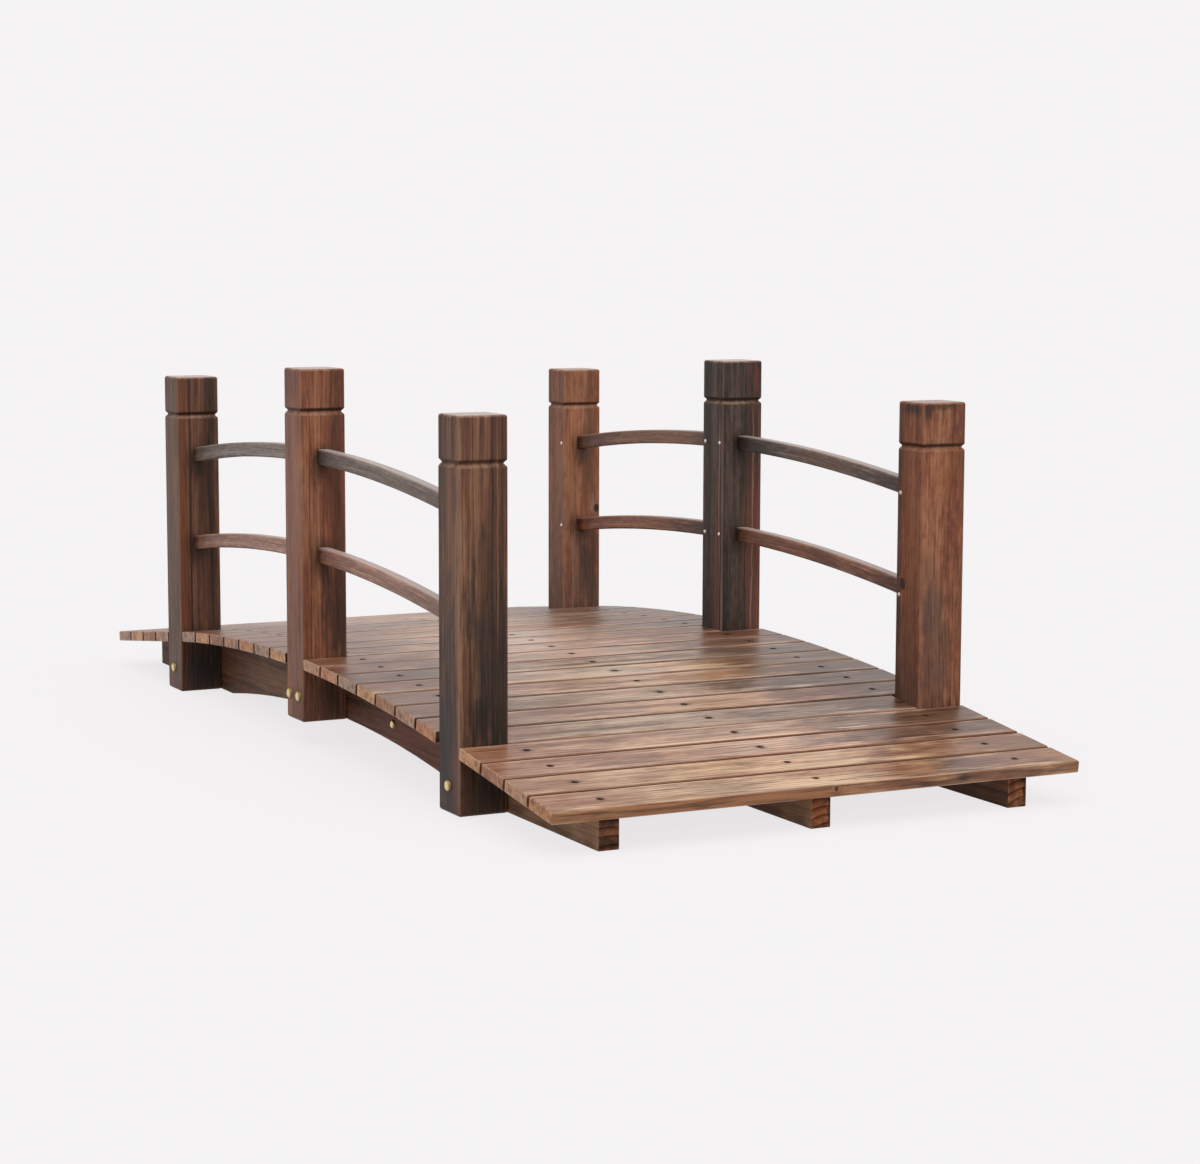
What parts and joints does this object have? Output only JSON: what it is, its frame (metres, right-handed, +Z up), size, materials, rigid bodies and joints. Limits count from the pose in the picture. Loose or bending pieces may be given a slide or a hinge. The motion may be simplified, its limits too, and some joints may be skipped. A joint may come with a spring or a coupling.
{
  "type": "arched garden footbridge",
  "caption": "Low arched wooden garden footbridge: cross slats on bowed beams, grooved square posts and bowed rails along both sides.",
  "frame": {"origin": "on the ground, under the middle of the deck", "axes": "+X along the bridge towards the near end, +Y across it towards the right row of posts, +Z up"},
  "size_m": [1.524, 0.6732, 0.4826],
  "materials": {
    "deck_wood": "satin",
    "beam_wood": "satin",
    "post_wood": "satin",
    "rail_wood": "satin",
    "bolt_brass": "satin",
    "screw_steel": "satin"
  },
  "bodies": {
    "root": {"slat_01": "deck_wood", "slat_02": "deck_wood", "slat_03": "deck_wood", "slat_04": "deck_wood", "slat_05": "deck_wood", "slat_06": "deck_wood", "slat_07": "deck_wood", "slat_08": "deck_wood", "slat_09": "deck_wood", "slat_10": "deck_wood", "slat_11": "deck_wood", "slat_12": "deck_wood", "slat_13": "deck_wood", "slat_14": "deck_wood", "slat_15": "deck_wood", "slat_16": "deck_wood", "slat_17": "deck_wood", "slat_18": "deck_wood", "slat_19": "deck_wood", "slat_20": "deck_wood", "slat_21": "deck_wood", "slat_22": "deck_wood", "slat_23": "deck_wood", "slat_24": "deck_wood", "slat_25": "deck_wood", "beam_left": "beam_wood", "beam_middle": "beam_wood", "beam_right": "beam_wood", "post_left_far": "post_wood", "post_left_middle": "post_wood", "post_left_near": "post_wood", "post_right_far": "post_wood", "post_right_middle": "post_wood", "post_right_near": "post_wood", "rail_left_upper_far": "rail_wood", "rail_left_upper_near": "rail_wood", "rail_left_lower_far": "rail_wood", "rail_left_lower_near": "rail_wood", "rail_right_upper_far": "rail_wood", "rail_right_upper_near": "rail_wood", "rail_right_lower_far": "rail_wood", "rail_right_lower_near": "rail_wood"}
  },
  "joints": []
}
